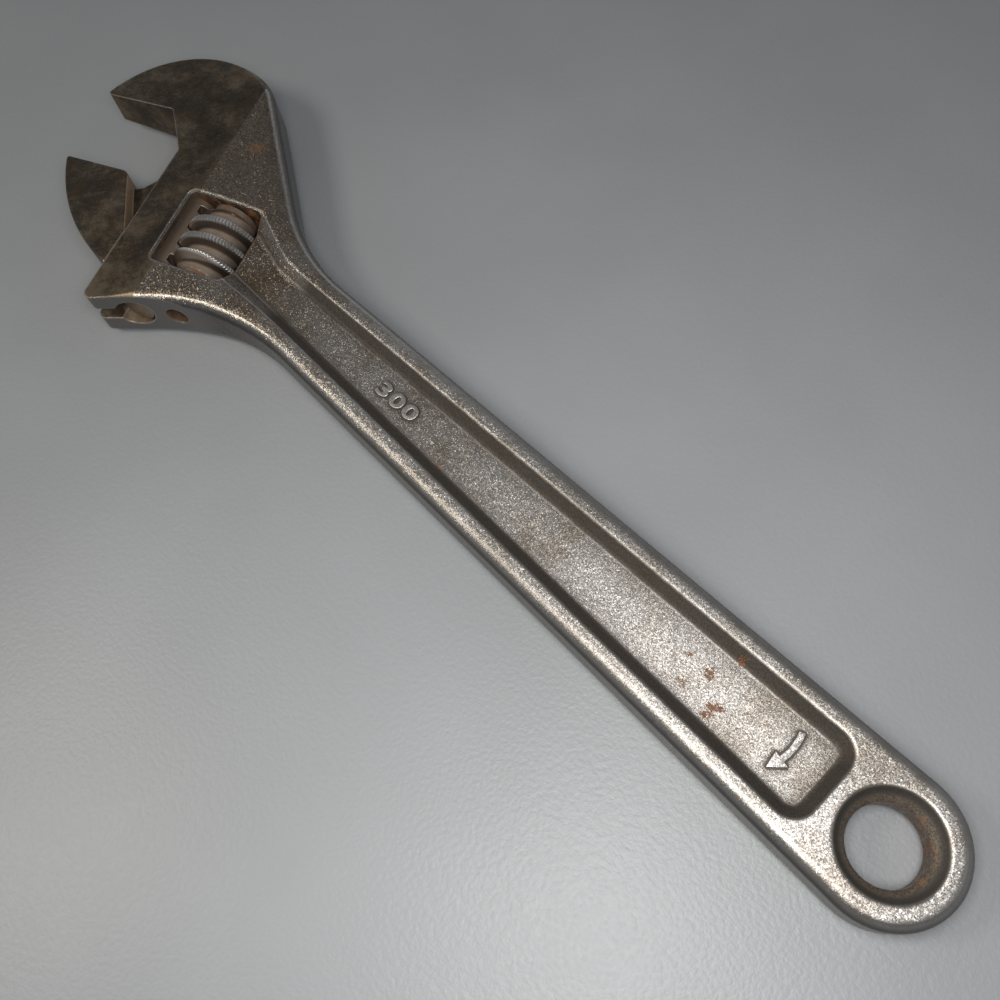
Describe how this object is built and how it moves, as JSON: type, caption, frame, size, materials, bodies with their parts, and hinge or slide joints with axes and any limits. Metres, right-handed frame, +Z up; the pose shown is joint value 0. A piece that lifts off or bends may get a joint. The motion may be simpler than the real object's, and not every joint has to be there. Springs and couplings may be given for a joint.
{
  "type": "adjustable wrench",
  "caption": "Forged adjustable wrench with a panelled handle, hanging hole, fixed jaw and a rail-guided sliding jaw driven by a knurled worm in the head's window.",
  "frame": {"origin": "centre of the hanging hole at mid thickness", "axes": "+X along the handle to the head, +Y to the side the sliding jaw opens to, +Z up with the wrench lying flat"},
  "size_m": [0.307, 0.0813, 0.02],
  "materials": {
    "body": "satin nickel-chrome plate on a granular forging, ground and tarnished jaw",
    "sliding_jaw": "ground and tarnished brown",
    "knurl": "turned and knurled, with rust in the grooves",
    "knurl_pin": "rusty",
    "knurl_spring": "drawn spring wire"
  },
  "bodies": {
    "frame": {"body": "body", "knurl_pin": "knurl_pin", "knurl_spring": "knurl_spring"},
    "jaw": {"sliding_jaw": "sliding_jaw"},
    "worm": {"knurl": "knurl"}
  },
  "joints": [
    {"name": "knurl_spin", "type": "hinge", "parent": "frame", "child": "worm", "pos_m": [0.22335, 0.00241, 0], "axis": [0.3827, -0.9239, 0], "range_deg": [-1503, 871]},
    {"name": "jaw_slide", "type": "slide", "parent": "frame", "child": "jaw", "axis": [-0.3827, 0.9239, 0], "range_m": [-0.024, 0.0139]}
  ],
  "couplings": [
    {"joint": "knurl_spin", "follows": "jaw_slide", "rad_per_m": 1092.7}
  ]
}
